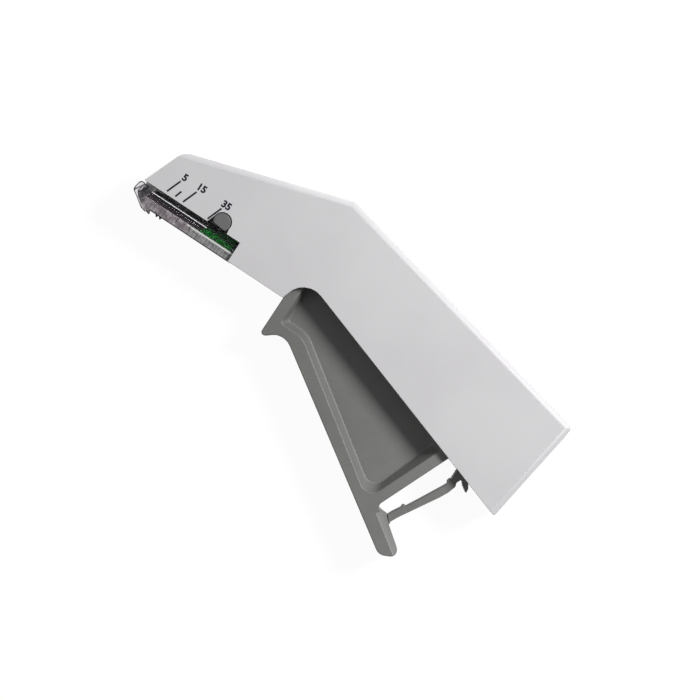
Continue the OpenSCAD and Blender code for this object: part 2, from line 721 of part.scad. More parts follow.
module trough_cut() {
    past = 0.2;
    wide = trough(-past);
    narrow = trough(1);
    n = len(wide);
    depth = (1 + past) * (trigger_w - web_t) / 2;
    lift = mid_z + web_t / 2;
    pts = concat([for (p = narrow) [p.x, p.y, lift]], [for (p = wide) [p.x, p.y, lift + depth]]);
    faces = concat([[for (i = [0 : n - 1]) i]], [[for (i = [n - 1 : -1 : 0]) n + i]],
        [for (i = [0 : n - 1]) [i, n + i, n + (i + 1) % n, (i + 1) % n]]);
    polyhedron(pts, faces, convexity = 6);
}

// Slope beyond the ridge that runs down the tail lobe
module lobe_bevel() {
    start = ray(hook_root + ridge_in * [sin(grip_angle), cos(grip_angle)], ridge_from, -grip_angle);
    reach = 2 * ridge_in;
    translate([start.x, start.y, mid_z + trigger_w / 2]) rotate([0, 0, -grip_angle]) rotate([90, 0, 90])
        linear_extrude(grip_len) polygon([[-over, over * ridge_slope_share],
            [reach, over * ridge_slope_share], [reach, -reach * ridge_slope_share]]);
}

module trigger() {
    color("gray") difference() {
        union() {
            slab(trigger_w) trigger_profile();
            slab(lever_w) lever_profile();
            boss();
        }
        for (side = [0, 1]) translate([0, 0, side * housing_w]) mirror([0, 0, side]) {
            trough_cut();
            lobe_bevel();
        }
    }
}

// The pivot boss through the whole width, cut flat below where it clears the cartridge
module boss() {
    low = boss_in;
    high = housing_w - boss_in;
    shoulder = boss_r - boss_chamfer;
    difference() {
        rotate_extrude($fn = 64) polygon([[0, low], [shoulder, low], [boss_r, low + boss_chamfer],
            [boss_r, high - boss_chamfer], [shoulder, high], [0, high]]);
        rotate(boss_flat_angle)
            box([-2 * boss_r, 2 * boss_r], [-2 * boss_r, -boss_flat], [-over, housing_w + over]);
    }
}

module return_spring_arm() {
    color("darkgray") slab(arm_w) polygon(rounded(concat([soft(crotch, 0), soft(root_top, 0)],
        [for (s = arm_shares) arm_point(s)])));
}

echo(stroke = stroke, feed = feed, ratio = stroke / squeeze * 180 / PI, origin = origin);

translate([-origin.x, -origin.y, 0]) {
    left_housing();
    right_housing();
    cartridge_body();
    cartridge_cover();
    anvil_plate();
    ejector_spring();
    spring_guide_rod();
    spring_end_plug();
    follower_spring();
    staples();
    front_staple();
    staple_follower();
    former_carrier();
    former_blade();
    trigger();
    return_spring_arm();
}
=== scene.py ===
# Skin stapler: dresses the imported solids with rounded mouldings, drawn wire and their materials.
# Places are given in millimetres from the trigger's pivot, +X along the staple row towards the tail.
import json
import math

import bmesh
import bpy
from mathutils import Matrix, Vector


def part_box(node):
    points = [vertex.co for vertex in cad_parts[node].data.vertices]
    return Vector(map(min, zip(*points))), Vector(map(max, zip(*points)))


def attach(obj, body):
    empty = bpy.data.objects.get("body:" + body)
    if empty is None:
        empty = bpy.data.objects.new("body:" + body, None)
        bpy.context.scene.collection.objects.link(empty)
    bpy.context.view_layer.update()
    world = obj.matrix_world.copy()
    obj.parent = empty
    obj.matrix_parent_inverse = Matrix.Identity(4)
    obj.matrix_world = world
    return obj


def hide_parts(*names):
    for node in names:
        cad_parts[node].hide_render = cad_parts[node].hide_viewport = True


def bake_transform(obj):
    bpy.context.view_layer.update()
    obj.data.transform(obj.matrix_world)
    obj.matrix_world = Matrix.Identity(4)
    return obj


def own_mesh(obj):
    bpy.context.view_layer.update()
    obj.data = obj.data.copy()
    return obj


MM = 0.001
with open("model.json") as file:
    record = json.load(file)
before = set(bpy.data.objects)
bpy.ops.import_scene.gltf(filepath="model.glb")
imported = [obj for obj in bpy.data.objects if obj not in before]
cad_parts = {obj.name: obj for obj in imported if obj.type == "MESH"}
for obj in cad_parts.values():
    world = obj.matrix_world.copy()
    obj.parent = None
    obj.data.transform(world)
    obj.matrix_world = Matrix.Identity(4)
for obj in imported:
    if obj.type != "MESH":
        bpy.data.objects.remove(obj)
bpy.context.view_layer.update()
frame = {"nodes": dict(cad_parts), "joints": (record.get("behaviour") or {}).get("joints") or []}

# The pivot, the middle plane and the side that faces the camera
PIVOT = Vector(next(j for j in frame["joints"] if j["name"] == "trigger_squeeze")["pos_m"])
MID_Z = 8.5
SIDE_Z = 17.0

# The camera: its turn, the point below it, the width that it sees there and its height over the side
VIEW_TURN = math.radians(33.4)
VIEW_CENTRE = (55.4, -11.4)
VIEW_FIELD = 218.75
VIEW_HEIGHT = 750
SENSOR = 36

# The staples, in the leaning frame of the former
LEAN = math.radians(68.5)
CROWN = (-23.8, -4.9)
WIRE = 0.53
WIRE_SIDES = 12
STAPLE_W = 12.8
BEND_R = 0.55
BEND_STEPS = 5
LEG = 3.9
TIP = 0.7
TIP_THIN = 0.15
PITCH = 0.535 / math.sin(LEAN)
STAPLES = 35

# The follower's spring
COIL_TURNS = 18
COIL_WIRE = 0.35
COIL_SIDES = 10
COIL_STEPS = 20

# The printed staple scale: strokes, numbers with their places, and the ink's width and thickness
TICKS = [
    ((-19.66, -1.46), (-17.78, 3.53)),
    ((-16.58, -1.42), (-15.84, 0.97)),
    ((-13.65, -1.50), (-11.79, 3.46)),
    ((-4.34, -1.65), (-2.43, 3.45)),
]
NUMBERS = [("5", -17.22, 5.11), ("15", -11.04, 5.22), ("35", -1.67, 4.97)]
TICK_W = 0.58
INK_T = 0.012
DIGIT_H = 3.1
DIGIT_BOLD = 0.045
DIGIT_WELD = 0.0005

# The share of a drawn line's width that is full
STROKE_CORE = 0.4


def at(x, y, z=0.0):
    """A point given from the pivot, in the row frame in metres."""
    return Vector((PIVOT.x + x * MM, PIVOT.y + y * MM, z * MM))


def x_at(x):
    return at(x, 0).x


def y_at(y):
    return at(0, y).y


class Value:
    """A shader socket that takes part in sums."""

    def __init__(self, paint, socket):
        self.paint = paint
        self.socket = socket

    def __add__(self, other):
        return self.paint.calc("ADD", self, other)

    def __radd__(self, other):
        return self.paint.calc("ADD", other, self)

    def __rsub__(self, other):
        return self.paint.calc("SUBTRACT", other, self)

    def __mul__(self, other):
        return self.paint.calc("MULTIPLY", self, other)

    def __rmul__(self, other):
        return self.paint.calc("MULTIPLY", other, self)


class Paint:
    """One material's nodes."""

    def __init__(self, name):
        self.material = bpy.data.materials.new(name)
        self.material.use_nodes = True
        self.tree = self.material.node_tree
        self.shader = self.tree.nodes["Principled BSDF"]
        self.output = self.tree.nodes["Material Output"]
        self.place = self.node("ShaderNodeTexCoord", {}, {}, "Object")

    def node(self, kind, settings, inputs, out=0):
        made = self.tree.nodes.new(kind)
        for key, value in settings.items():
            setattr(made, key, value)
        for key, value in inputs.items():
            self.feed(made.inputs[key], value)
        return Value(self, made.outputs[out])

    def feed(self, socket, value):
        if isinstance(value, Value):
            self.tree.links.new(value.socket, socket)
        elif isinstance(value, tuple) and len(value) == 3 and socket.type == "RGBA":
            socket.default_value = (*value, 1)
        else:
            socket.default_value = value

    def set(self, **inputs):
        for key, value in inputs.items():
            self.feed(self.shader.inputs[key.replace("_", " ")], value)

    def cover(self, share, shader):
        """Lays another shader over the material's own by a share."""
        own = Value(self, self.shader.outputs[0])
        both = self.node("ShaderNodeMixShader", {}, {0: share, 1: own, 2: shader})
        self.feed(self.output.inputs["Surface"], both)

    def calc(self, kind, a, b):
        return self.node("ShaderNodeMath", {"operation": kind}, {0: a, 1: b})

    def vector(self, kind, a, b, out=0):
        return self.node("ShaderNodeVectorMath", {"operation": kind}, {0: a, 1: b}, out)

    def axis(self, number):
        """The object's own X, Y or Z."""
        return self.node("ShaderNodeSeparateXYZ", {}, {0: self.place}, number)

    def scaled(self, scale, turn=0.0):
        """Object coordinates stretched by axis, so that grain runs one way."""
        inputs = {"Vector": self.place, "Scale": scale, "Rotation": (0.0, 0.0, turn)}
        return self.node("ShaderNodeMapping", {}, inputs)

    def noise(self, scale, detail=2.0, roughness=0.5, place=None):
        inputs = {"Vector": place or self.place, "Scale": scale, "Detail": detail, "Roughness": roughness}
        return self.node("ShaderNodeTexNoise", {}, inputs)

    def spread(self, value, low, high, to_low=0.0, to_high=1.0):
        return self.node(
            "ShaderNodeMapRange",
            {"interpolation_type": "SMOOTHSTEP"},
            {"Value": value, "From Min": low, "From Max": high, "To Min": to_low, "To Max": to_high},
        )

    def band(self, value, low, high, blur):
        """One from low to high, fading out over the blur on both sides."""
        return self.spread(value, low - blur, low) * self.spread(value, high, high + blur, 1.0, 0.0)

    def along(self, run, blur):
        return self.band(self.axis(0), x_at(run[0]), x_at(run[1]), blur * MM)

    def across(self, run, blur):
        return self.band(self.axis(1), y_at(run[0]), y_at(run[1]), blur * MM)

    def mix(self, share, a, b):
        return self.node("ShaderNodeMix", {"data_type": "RGBA"}, {0: share, 6: a, 7: b}, 2)

    def bump(self, height, strength, distance, normal=None):
        inputs = {"Height": height, "Strength": strength, "Distance": distance * MM}
        if normal:
            inputs["Normal"] = normal
        return self.node("ShaderNodeBump", {}, inputs)

    def stroke(self, points, width):
        """One on a line drawn through points given from the pivot, nought beyond its width."""
        flat = self.vector("MULTIPLY", self.place, (1.0, 1.0, 0.0))
        whole = 0.0
        for start, end in zip(points, points[1:]):
            a, run = at(*start), at(*end) - at(*start)
            reach = self.vector("SUBTRACT", flat, tuple(a))
            share = self.vector("DOT_PRODUCT", reach, tuple(run / run.length_squared), "Value")
            share = self.node("ShaderNodeClamp", {}, {"Value": share})
            near = self.node(
                "ShaderNodeVectorMath", {"operation": "SCALE"}, {0: tuple(run), "Scale": share}
            )
            off = self.vector("DISTANCE", reach, near, "Value")
            line = self.spread(off, STROKE_CORE * width * MM, width * MM, 1.0, 0.0)
            whole = self.calc("MAXIMUM", whole, line)
        return whole


def body_plastic():
    p = Paint("body_plastic")
    cloud = p.noise(38.0, 3.0)
    grain = p.noise(2600.0, 2.0, 0.6)
    p.set(
        Base_Color=p.mix(p.spread(cloud, 0.3, 0.7), (0.588, 0.575, 0.586), (0.618, 0.61, 0.618)),
        Roughness=0.4 + 0.12 * grain,
        Normal=p.bump(grain, 0.12, 0.03, p.bump(cloud, 0.06, 0.6)),
        IOR=1.49,
    )
    return p.material


# The lever gets lighter along LIGHTER, its boss is darker up to BOSS_END, and painted shade darkens the
# arm's walls
LIGHTER = (30, 95)
BOSS_END = (6, 20)
WALL_SHADE_EDGE = (0.1, 0.5)


def grey_plastic(name, wall_shade_share):
    """Grained grey plastic; the last argument paints shade on the return arm's walls between its two flat
    sides.
    """
    p = Paint(name)
    speckle = p.noise(5200.0, 2.0, 0.65)
    grain = p.noise(1900.0, 3.0, 0.6)
    cloud = p.noise(60.0, 3.0)
    along = p.axis(0)
    lobe = p.spread(along, x_at(LIGHTER[0]), x_at(LIGHTER[1]), 0.0, 0.6)
    boss = p.spread(along, x_at(BOSS_END[0]), x_at(BOSS_END[1]), 0.5, 0.0)
    tone = p.mix(p.spread(speckle, 0.35, 0.68), (0.142, 0.143, 0.138), (0.176, 0.177, 0.17))
    tone = p.mix(lobe, tone, (0.215, 0.216, 0.207))
    tone = p.mix(boss, tone, (0.12, 0.12, 0.126))
    if wall_shade_share:
        # The return arm's walls get painted shade, fading out near its two flat sides
        low, high = (corner[2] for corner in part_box("return_spring_arm"))
        near, far = (edge * MM for edge in WALL_SHADE_EDGE)
        up = p.axis(2)
        wall = p.spread(up, high - far, high - near, wall_shade_share, 0.0) * p.spread(up, low + near, low + far)
        tone = p.mix(wall, tone, (0.012, 0.012, 0.012))
    p.set(
        Base_Color=p.mix(p.spread(cloud, 0.35, 0.7, 0.0, 0.35), tone, (0.132, 0.133, 0.129)),
        Roughness=0.42 + 0.2 * grain,
        Normal=p.bump(grain, 0.3, 0.05, p.bump(speckle, 0.15, 0.02)),
        IOR=1.48,
    )
    return p.material


# The clear channel: frosted grooved walls, a painted highlight line under the cover, and painted shade
# on the outer parts of the channel's bottom. REAR is where the walls turn greenish.
BELOW = -12.0
FROST_RUN, FROST_TOP = (-23.6, 9.0), -6.4
HIGHLIGHT_RUN, HIGHLIGHT_RISE = (-23.4, -3.2), (-4.3, -4.1)
BOTTOM_SHADE_RUN, BOTTOM_SHADE_TOP = (-21.1, 9.0), -9.16
BOTTOM_SHADE_GAP = 6.0
REAR = (-9, -6)
GROOVES = 260.0

# Drawn lines of the channel: painted shade along the nose's rim, over the slot across it and over two
# ribs, and a painted highlight along a ledge
NOSE_RIM_SHADE = [
    (-26.6, -3.4),
    (-27.3, -2.96),
    (-28.3, -3.2),
    (-28.75, -3.9),
    (-29.05, -5.7),
    (-28.5, -7.0),
    (-24.1, -10.04),
    (-22.3, -10.55),
]
NOSE_SLOT = [(-28.7, -6.5), (-27.9, -5.3), (-26.9, -3.6)]
RIBS = [[(-12.25, -7.95), (-12.1, -7.0)], [(-7.4, -7.9), (-7.6, -6.9)]]
LEDGE_HIGHLIGHT = [(-8.4, -6.7), (8.0, -6.7)]


def clear_plastic():
    """Clear, faintly smoky plastic under a milky coat that shows only on the frosted bands and on lines of
    painted highlight and painted shade.
    """
    p = Paint("clear_plastic")
    flow = p.noise(220.0, place=p.scaled((0.25, 1.0, 1.0)))
    haze = p.noise(1500.0)
    cloud = p.noise(420.0, 2.0, 0.6)
    grooves = p.node("ShaderNodeTexWave", {"bands_direction": "X"}, {"Vector": p.place, "Scale": GROOVES})
    wall = p.across((BELOW, FROST_TOP), 0.2) * p.along(FROST_RUN, 1.6)
    # Painted highlight: a bright line under the cover
    highlight_line = p.across(HIGHLIGHT_RISE, 0.05) * p.along(HIGHLIGHT_RUN, 0.2)
    # Painted shade along the outer parts of the channel's bottom edge
    bottom_shade = p.across((BELOW, BOTTOM_SHADE_TOP), 0.08) * p.along(BOTTOM_SHADE_RUN, 0.2)
    bottom_shade = bottom_shade * (1.0 - p.band(p.axis(2), (MID_Z - BOTTOM_SHADE_GAP) * MM, (MID_Z + BOTTOM_SHADE_GAP) * MM, 0.4 * MM))
    # Painted shade: dark lines along the nose's rim and over the slot and the ribs, which are real
    dark_line_shade = p.calc("MAXIMUM", p.stroke(NOSE_RIM_SHADE, 0.36), p.stroke(NOSE_SLOT, 0.3) * 0.85)
    for rib in RIBS:
        dark_line_shade = p.calc("MAXIMUM", dark_line_shade, p.stroke(rib, 0.4) * 0.8)
    # Painted highlight along the ledge
    ledge_highlight = p.stroke(LEDGE_HIGHLIGHT, 0.3)
    rear = p.spread(p.axis(0), x_at(REAR[0]), x_at(REAR[1]), 0.0, 0.6)
    p.set(
        Base_Color=p.mix(haze, (0.7, 0.68, 0.7), (0.82, 0.8, 0.82)),
        Roughness=0.02 + 0.06 * haze,
        Normal=p.bump(flow, 0.12, 0.2),
        IOR=1.5,
        Transmission_Weight=1.0,
    )
    frost = p.mix(p.spread(cloud, 0.35, 0.65), (0.27, 0.23, 0.25), (0.6, 0.55, 0.57))
    frost = p.mix(rear, frost, (0.36, 0.4, 0.38))
    frost = p.mix(0.35 * grooves, frost, (0.12, 0.09, 0.11))
    frost = p.mix(ledge_highlight, frost, (0.72, 0.74, 0.7))
    frost = p.mix(highlight_line, frost, (0.95, 0.93, 0.95))
    frost = p.mix(bottom_shade, frost, (0.012, 0.012, 0.014))
    frost = p.mix(dark_line_shade, frost, (0.02, 0.014, 0.018))
    inputs = {"Base Color": frost, "Roughness": 0.8, "Normal": p.bump(haze, 0.3, 0.05)}
    milky = p.node("ShaderNodeBsdfPrincipled", {}, inputs)
    share = wall * 0.62 + highlight_line * 0.9 + bottom_shade * 0.6 + dark_line_shade * 0.9 + ledge_highlight * 0.3
    p.cover(p.calc("MINIMUM", share, 0.95), milky)
    return p.material


def green_plastic():
    p = Paint("green_plastic")
    cloud = p.noise(320.0)
    grain = p.noise(3000.0)
    p.set(
        Base_Color=p.mix(p.spread(cloud, 0.3, 0.7), (0.001, 0.3, 0.02), (0.002, 0.42, 0.035)),
        Roughness=0.22 + 0.12 * grain,
        Normal=p.bump(grain, 0.08, 0.02),
        IOR=1.5,
    )
    return p.material


def dark_plastic():
    p = Paint("dark_plastic")
    grain = p.noise(2400.0, 3.0, 0.6)
    p.set(
        Base_Color=p.mix(grain, (0.016, 0.016, 0.017), (0.034, 0.034, 0.036)),
        Roughness=0.42 + 0.2 * grain,
        Normal=p.bump(grain, 0.2, 0.03),
    )
    return p.material


def steel(name, colour, rough, stretch, turn=0.0):
    """Steel with fine drawing lines; stretch and turn say which way they run."""
    p = Paint(name)
    lines = p.noise(900.0, 4.0, 0.6, p.scaled(stretch, turn))
    spots = p.noise(700.0, 3.0)
    dim = tuple(c * 0.8 for c in colour)
    p.set(
        Base_Color=p.mix(p.spread(spots, 0.3, 0.75), colour, dim),
        Metallic=1.0,
        Roughness=rough + 0.16 * lines,
        Normal=p.bump(lines, 0.1, 0.01),
    )
    return p.material


def ink():
    p = Paint("navy_ink")
    cover = p.noise(4200.0, 3.0, 0.7)
    p.set(
        Base_Color=p.mix(p.spread(cover, 0.3, 0.75), (0.001, 0.0015, 0.008), (0.003, 0.004, 0.014)),
        Roughness=0.32 + 0.2 * cover,
        Normal=p.bump(cover, 0.08, 0.01),
    )
    return p.material


BODY = body_plastic()
GREY = grey_plastic("grey_plastic", 0.0)
# The return arm gets the grey with painted shade on its walls
GREY_ARM_SHADED = grey_plastic("grey_arm_wall_shade", 0.8)
CLEAR = clear_plastic()
GREEN = green_plastic()
DARK = dark_plastic()
WIRE_STEEL = steel("staple_steel", (0.4, 0.36, 0.385), 0.24, (1.0, 1.0, 0.15))
PLATE_STEEL = steel("anvil_steel", (0.56, 0.57, 0.58), 0.28, (0.1, 1.0, 1.0))
BLADE_STEEL = steel("blade_steel", (0.5, 0.5, 0.52), 0.3, (0.12, 1.0, 1.0), LEAN)
SPRING_STEEL = steel("spring_steel", (0.6, 0.61, 0.63), 0.24, (1.0, 0.3, 0.3))
INK = ink()

# Angles in degrees below which faces shade as one surface
SMOOTH_MOULDING = 32.0
SMOOTH_WIRE = 50.0


def finished(bm, name, body, material, replaced=(), smooth=SMOOTH_MOULDING):
    """Turns a bmesh into a piece that rides on a body."""
    for face in bm.faces:
        face.smooth = True
    for edge in bm.edges:
        edge.smooth = len(edge.link_faces) == 2 and edge.calc_face_angle() < math.radians(smooth)
    mesh = bpy.data.meshes.new(name)
    bm.to_mesh(mesh)
    bm.free()
    piece = bpy.data.objects.new(name, mesh)
    bpy.context.scene.collection.objects.link(piece)
    mesh.materials.append(material)
    if replaced:
        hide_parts(*replaced)
    if body:
        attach(piece, body)
    return piece


def weigh(piece):
    """Keeps the flat faces flat in the shading beside their rounded edges."""
    keep = piece.modifiers.new("even_normals", "WEIGHTED_NORMAL")
    keep.keep_sharp = True
    keep.weight = 100


# Lines on the lobe whose edges stay as they are: the joint with the return arm and the ridge's start
PLAIN_LINES = [((93.91, -48.11), (95.87, -50.59)), ((90.17, -49.65), (91.25, -48.02))]
LINE_NEAR = 0.12


def on_plain_line(edge):
    """True for an edge that lies along one of the lobe's plain lines."""
    near = LINE_NEAR * MM
    for line in PLAIN_LINES:
        a, b = (at(*p).xy for p in line)
        along = (b - a).normalized()
        spots = [v.co.xy - a for v in edge.verts]
        beside = all(abs(off.x * along.y - off.y * along.x) < near for off in spots)
        if beside and all(-near < off.dot(along) < (b - a).length + near for off in spots):
            return True
    return False


def sharp(bm, degrees):
    """The edges that turn by more than an angle, apart from those on the plain lines."""
    low = math.radians(degrees)
    return [
        e
        for e in bm.edges
        if len(e.link_faces) == 2 and e.calc_face_angle() > low and not on_plain_line(e)
    ]


def rounded_edges(bm, edges, width, segments):
    if edges:
        bmesh.ops.bevel(
            bm,
            geom=edges,
            offset=width * MM,
            offset_type="OFFSET",
            segments=segments,
            profile=0.5,
            affect="EDGES",
            material=-1,
            clamp_overlap=False,
            loop_slide=True,
        )


WELD = 0.002
FLAT_DEGREES = 0.4


def solid_copy(node):
    """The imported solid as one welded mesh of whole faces."""
    bm = bmesh.new()
    bm.from_mesh(frame["nodes"][node].data)
    bmesh.ops.remove_doubles(bm, verts=bm.verts, dist=WELD * MM)
    bmesh.ops.dissolve_limit(
        bm,
        angle_limit=math.radians(FLAT_DEGREES),
        use_dissolve_boundaries=False,
        verts=bm.verts,
        edges=bm.edges,
    )
    return bm


# Edges sharper than EDGE_DEGREES are rounded. The nose's wider rounding ends in front of the housing.
EDGE_DEGREES = 35
NOSE_END = -26.4
REST_START = -26.0


def rear_end(edge):
    return max(v.co.x for v in edge.verts)


def moulded(node, name, body, material, width, nose=0.0):
    """A dressed solid; nose is the wider rounding of the edges that stand in front of the housing."""
    bm = solid_copy(node)
    if nose:
        fore = [e for e in sharp(bm, EDGE_DEGREES) if rear_end(e) < x_at(NOSE_END)]
        rounded_edges(bm, fore, nose, segments=3)
        edges = [e for e in sharp(bm, EDGE_DEGREES) if rear_end(e) > x_at(REST_START)]
    else:
        edges = sharp(bm, EDGE_DEGREES)
    rounded_edges(bm, edges, width, segments=2)
    weigh(finished(bm, name, body, material, (node,)))


moulded("left_housing", "left_body_shell", "housing", BODY, 0.16)
moulded("right_housing", "right_body_shell", "housing", BODY, 0.16)
moulded("cartridge_body", "clear_channel", "housing", CLEAR, 0.06, nose=0.2)
moulded("cartridge_cover", "clear_cover", "housing", CLEAR, 0.06)
moulded("spring_end_plug", "channel_plug", "housing", DARK, 0.12)
moulded("staple_follower", "green_follower", "follower", GREEN, 0.12)
moulded("former_carrier", "former_slide_block", "former", DARK, 0.15)
moulded("former_blade", "forming_blade", "former", BLADE_STEEL, 0.05)
moulded("anvil_plate", "bending_anvil", "housing", PLATE_STEEL, 0.06)
moulded("ejector_spring", "ejector_leaf", "housing", SPRING_STEEL, 0.04)
moulded("spring_guide_rod", "guide_wire", "housing", SPRING_STEEL, 0.08)
moulded("return_spring_arm", "return_arm", "trigger", GREY_ARM_SHADED, 0.07)

# The lever's trough: its floor lies WEB_HALF from the middle plane and starts at TROUGH_FROM.
# A wall is an edge that rises by more than WALL_RISE. The floor's outline is drawn towards the mouth
# by DRAW of the wall's lean, less by DRAW_FALL where the wall leans rearwards.
WEB_HALF = 0.9
WEB_NEAR = 0.05
TROUGH_FROM = 20
WALL_RISE = 4
DRAW = 0.3
DRAW_FALL = 0.5
FALL_FROM, FALL_OVER = 0.2, 0.6
FLOOR_DEGREES, FLOOR_ROUND = 25, 0.5
RIM_DEGREES, RIM_ROUND = 40, 0.35


def on_web(v):
    return abs(abs(v.co.z / MM - MID_Z) - WEB_HALF) < WEB_NEAR


def draw_floor(v):
    """Moves a vertex of the trough's floor along the lean of the wall that stands on it."""
    for e in v.link_edges:
        draw = e.other_vert(v).co - v.co
        if abs(draw.z) > WALL_RISE * MM:
            rearward = max(0.0, min(1.0, (draw.x / draw.xy.length - FALL_FROM) / FALL_OVER))
            share = DRAW - DRAW_FALL * rearward
            v.co.x += share * draw.x
            v.co.y += share * draw.y
            return


def trigger_moulding():
    """The lever with soft rims: the trough's floor meets its walls in a wide fillet."""
    bm = solid_copy("trigger")
    for v in bm.verts:
        if on_web(v) and v.co.x > x_at(TROUGH_FROM):
            draw_floor(v)
    floor_edges = []
    for e in sharp(bm, FLOOR_DEGREES):
        middle = (e.verts[0].co + e.verts[1].co) / 2
        if all(on_web(v) for v in e.verts) and middle.x > x_at(TROUGH_FROM):
            floor_edges.append(e)
    rounded_edges(bm, floor_edges, FLOOR_ROUND, segments=3)
    rounded_edges(bm, sharp(bm, RIM_DEGREES), RIM_ROUND, segments=3)
    weigh(finished(bm, "squeeze_lever", "trigger", GREY, ("trigger",)))


trigger_moulding()


def verts_in(geom):
    return [g for g in geom if isinstance(g, bmesh.types.BMVert)]


def edges_in(geom):
    return [g for g in geom if isinstance(g, bmesh.types.BMEdge)]


def edges_at(verts):
    """The edges that meet the vertices, each once and in a fixed order."""
    return list(dict.fromkeys(e for v in verts for e in v.link_edges))


def one_staple():
    """A wire bent from one leg's chisel point over the crown to the other, in the former's frame."""
    bm = bmesh.new()
    half = STAPLE_W / 2 - WIRE / 2
    ring = bmesh.ops.create_circle(bm, cap_ends=False, segments=WIRE_SIDES, radius=WIRE / 2)["verts"]
    bmesh.ops.rotate(bm, verts=ring, cent=(0, 0, 0), matrix=Matrix.Rotation(math.pi / 2, 3, "X"))
    bmesh.ops.translate(bm, verts=ring, vec=(-half, LEG, 0))
    front = edges_at(ring)
    first = front

    def run(vec):
        nonlocal front
        out = bmesh.ops.extrude_edge_only(bm, edges=front)["geom"]
        bmesh.ops.translate(bm, verts=verts_in(out), vec=vec)
        front = edges_in(out)

    def turn(centre):
        nonlocal front
        out = bmesh.ops.spin(
            bm,
            geom=front,
            cent=centre,
            axis=(0, 0, 1),
            dvec=(0, 0, 0),
            angle=math.pi / 2,
            steps=BEND_STEPS,
        )
        front = edges_in(out["geom_last"])

    run((0, -TIP, 0))
    run((0, BEND_R - LEG + TIP, 0))
    turn((-half + BEND_R, BEND_R, 0))
    run((2 * (half - BEND_R), 0, 0))
    turn((half - BEND_R, BEND_R, 0))
    run((0, LEG - TIP - BEND_R, 0))
    run((0, TIP, 0))
    for loop in (first, front):
        for v in dict.fromkeys(v for e in loop for v in e.verts):
            v.co.z *= TIP_THIN
        bmesh.ops.contextual_create(bm, geom=loop)
    bmesh.ops.recalc_face_normals(bm, faces=bm.faces)
    place = Matrix(
        (
            (0, -math.cos(LEAN), math.sin(LEAN), CROWN[0]),
            (0, -math.sin(LEAN), -math.cos(LEAN), CROWN[1]),
            (1, 0, 0, MID_Z),
            (0, 0, 0, 1),
        )
    )
    place = Matrix.Translation(at(0, 0)) @ Matrix.Scale(MM, 4) @ place
    bmesh.ops.transform(bm, matrix=place, verts=bm.verts)
    return bm


# ROW_STOP is a share of a pitch, measured from the front staple's crown towards the row.
ROW_STOP = 0.6


def ready_staple():
    piece = finished(
        one_staple(), "ready_staple", "housing", WIRE_STEEL, ("front_staple",), SMOOTH_WIRE
    )
    at(*CROWN, MID_Z)
    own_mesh(piece)


def staple_row():
    row = one_staple()
    bmesh.ops.translate(row, verts=row.verts, vec=(PITCH * MM, 0, 0))
    first_one = row.verts[:] + row.edges[:] + row.faces[:]
    for i in range(1, STAPLES - 1):
        copy = bmesh.ops.duplicate(row, geom=first_one)["geom"]
        bmesh.ops.translate(row, verts=verts_in(copy), vec=(i * PITCH * MM, 0, 0))
    piece = finished(row, "staple_row", "housing", WIRE_STEEL, ("staples",), SMOOTH_WIRE)
    stop = at(CROWN[0] + PITCH * ROW_STOP, CROWN[1])
    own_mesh(piece)


ready_staple()
staple_row()


def coil():
    """The follower's spring as one wound wire along the length of the imported spring."""
    low, high = (Vector(p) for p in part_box("follower_spring"))
    middle = (low + high) / 2
    wire = COIL_WIRE * MM / 2
    reach = (high.y - low.y) / 2 - wire
    bm = bmesh.new()
    ring = bmesh.ops.create_circle(bm, cap_ends=False, segments=COIL_SIDES, radius=wire)["verts"]
    bmesh.ops.translate(bm, verts=ring, vec=(low.x + wire, middle.y + reach, middle.z))
    steps = COIL_TURNS * COIL_STEPS
    out = bmesh.ops.spin(
        bm,
        geom=edges_at(ring),
        cent=middle,
        axis=(1, 0, 0),
        dvec=((high.x - low.x - 2 * wire) / steps, 0, 0),
        angle=COIL_TURNS * 2 * math.pi,
        steps=steps,
    )
    bmesh.ops.contextual_create(bm, geom=edges_in(out["geom_last"]))
    bmesh.ops.contextual_create(bm, geom=[e for e in edges_at(ring) if e.is_boundary])
    bmesh.ops.recalc_face_normals(bm, faces=bm.faces)
    piece = finished(bm, "pusher_coil", None, SPRING_STEEL, ("follower_spring",), SMOOTH_WIRE)
    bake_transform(piece)


coil()


def printed_ticks():
    bm = bmesh.new()
    for start, end in TICKS:
        a, b = at(*start, SIDE_Z), at(*end, SIDE_Z)
        side = (b - a).cross(Vector((0, 0, 1))).normalized() * TICK_W * MM / 2
        corners = [bm.verts.new(p) for p in (a + side, b + side, b - side, a - side)]
        plate = bmesh.ops.contextual_create(bm, geom=corners)["faces"]
        up = bmesh.ops.extrude_face_region(bm, geom=plate)["geom"]
        bmesh.ops.translate(bm, verts=verts_in(up), vec=(0, 0, INK_T * MM))
    bmesh.ops.recalc_face_normals(bm, faces=bm.faces)
    finished(bm, "scale_ticks", "housing", INK)


def printed_numbers():
    bm = bmesh.new()
    for text, x, y in NUMBERS:
        curve = bpy.data.curves.new("number", "FONT")
        curve.body = text
        curve.align_x = "CENTER"
        curve.align_y = "CENTER"
        curve.offset = DIGIT_BOLD
        curve.extrude = INK_T / DIGIT_H / 2
        holder = bpy.data.objects.new("number", curve)
        mesh = bpy.data.meshes.new_from_object(holder)
        mesh.transform(Matrix.Translation(at(x, y, SIDE_Z + INK_T / 2)) @ Matrix.Scale(DIGIT_H * MM, 4))
        bm.from_mesh(mesh)
        bpy.data.objects.remove(holder)
        bpy.data.curves.remove(curve)
        bpy.data.meshes.remove(mesh)
    bmesh.ops.remove_doubles(bm, verts=bm.verts, dist=DIGIT_WELD * MM)
    finished(bm, "scale_numbers", "housing", INK)


printed_ticks()
printed_numbers()

# The light of the room on the object, which the camera doesn't see, and its tint
ROOM_LIGHT = 0.16
ROOM_TINT = (0.96, 0.98, 1.0, 1.0)
WHITE = (1.0, 1.0, 1.0, 1.0)

